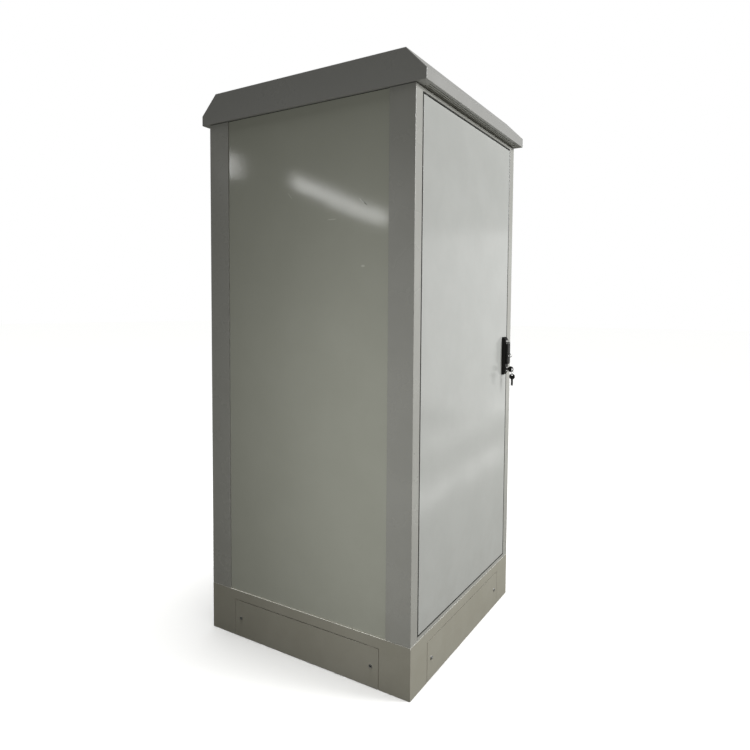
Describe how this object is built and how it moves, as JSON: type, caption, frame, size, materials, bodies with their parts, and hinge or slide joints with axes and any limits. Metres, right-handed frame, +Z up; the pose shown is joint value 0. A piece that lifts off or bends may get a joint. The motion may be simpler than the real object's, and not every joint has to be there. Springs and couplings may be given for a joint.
{
  "type": "utility cabinet",
  "caption": "Grey steel outdoor equipment cabinet on a plinth with removable covers, a hooded vented roof, and a hinged front door with a swing handle, padlock eye and keyed rod lock",
  "frame": {"origin": "on the ground under the middle of the cabinet, at the centre of the anchor holes", "axes": "+Z up, the door faces -Y, +X to the right of someone who faces the door"},
  "size_m": [0.806, 0.882, 1.858],
  "materials": {
    "grey_paint": "semi gloss",
    "zinc_steel": "satin",
    "black_plastic": "satin",
    "bright_steel": "semi gloss",
    "seal_rubber": "matt",
    "copper": "satin"
  },
  "bodies": {
    "frame": {"plinth_frame": "grey_paint", "plinth_cover_front": "grey_paint", "plinth_cover_rear": "grey_paint", "plinth_cover_left": "grey_paint", "plinth_cover_right": "grey_paint", "plinth_screws": "zinc_steel", "frame_bolts": "zinc_steel", "corner_post_front_left": "grey_paint", "corner_post_front_right": "grey_paint", "corner_post_rear_left": "grey_paint", "corner_post_rear_right": "grey_paint", "lintel": "grey_paint", "sill": "grey_paint", "side_rail_top_left": "grey_paint", "side_rail_top_right": "grey_paint", "side_rail_bottom_left": "grey_paint", "side_rail_bottom_right": "grey_paint", "rear_rail_top": "grey_paint", "rear_rail_bottom": "grey_paint", "door_surround": "grey_paint", "side_panel_left": "grey_paint", "side_panel_right": "grey_paint", "rear_panel": "grey_paint", "floor_plate": "zinc_steel", "cable_grommets": "seal_rubber", "top_plate": "zinc_steel", "roof_seals": "seal_rubber", "roof_hood": "grey_paint", "soffit_grille_front": "grey_paint", "soffit_grille_rear": "grey_paint", "cross_bar_front_lower": "zinc_steel", "cross_bar_front_upper": "zinc_steel", "cross_bar_rear_lower": "zinc_steel", "cross_bar_rear_upper": "zinc_steel", "rack_rail_front_left": "zinc_steel", "rack_rail_front_right": "zinc_steel", "rack_rail_rear_left": "zinc_steel", "rack_rail_rear_right": "zinc_steel", "earth_bar": "copper", "earth_posts": "zinc_steel", "hinge_pins": "bright_steel"},
    "door": {"door_panel": "grey_paint", "door_channel": "zinc_steel", "door_gasket": "seal_rubber", "hinge_sockets": "bright_steel", "rod_guides": "zinc_steel", "handle_base": "black_plastic", "handle_nuts": "zinc_steel", "lock_barrel": "bright_steel"},
    "handle_spindle": {"spindle": "bright_steel", "latch_cam": "zinc_steel", "padlock_eye": "bright_steel", "lever_pin": "bright_steel"},
    "handle_lever": {"lever": "black_plastic"},
    "lock_key": {"lock_plug": "bright_steel", "key": "black_plastic", "key_ring": "bright_steel", "spare_key": "black_plastic"},
    "rod_upper": {"lock_rod_upper": "zinc_steel"},
    "rod_lower": {"lock_rod_lower": "zinc_steel"}
  },
  "joints": [
    {"name": "door_swing", "type": "hinge", "parent": "frame", "child": "door", "pos_m": [-0.329, -0.389, 0], "axis": [0, 0, -1], "range_deg": [0, 120]},
    {"name": "handle_turn", "type": "hinge", "parent": "door", "child": "handle_spindle", "pos_m": [0.321, -0.4, 1.01], "axis": [0, 1, 0], "range_deg": [0, 90]},
    {"name": "lever_lift", "type": "hinge", "parent": "handle_spindle", "child": "handle_lever", "pos_m": [0.321, -0.4193, 1.01], "axis": [-1, 0, 0], "range_deg": [0, 40]},
    {"name": "key_turn", "type": "hinge", "parent": "door", "child": "lock_key", "pos_m": [0.321, -0.4, 0.911], "axis": [0, 1, 0], "range_deg": [0, 90]},
    {"name": "rod_upper_slide", "type": "slide", "parent": "door", "child": "rod_upper", "axis": [0, 0, 1], "range_m": [-0.0226, 0]},
    {"name": "rod_lower_slide", "type": "slide", "parent": "door", "child": "rod_lower", "axis": [0, 0, 1], "range_m": [0, 0.0228]}
  ],
  "couplings": [
    {"joint": "handle_turn", "follows": "rod_upper_slide", "rad_per_m": -69.42},
    {"joint": "rod_lower_slide", "follows": "rod_upper_slide", "ratio": -1}
  ]
}
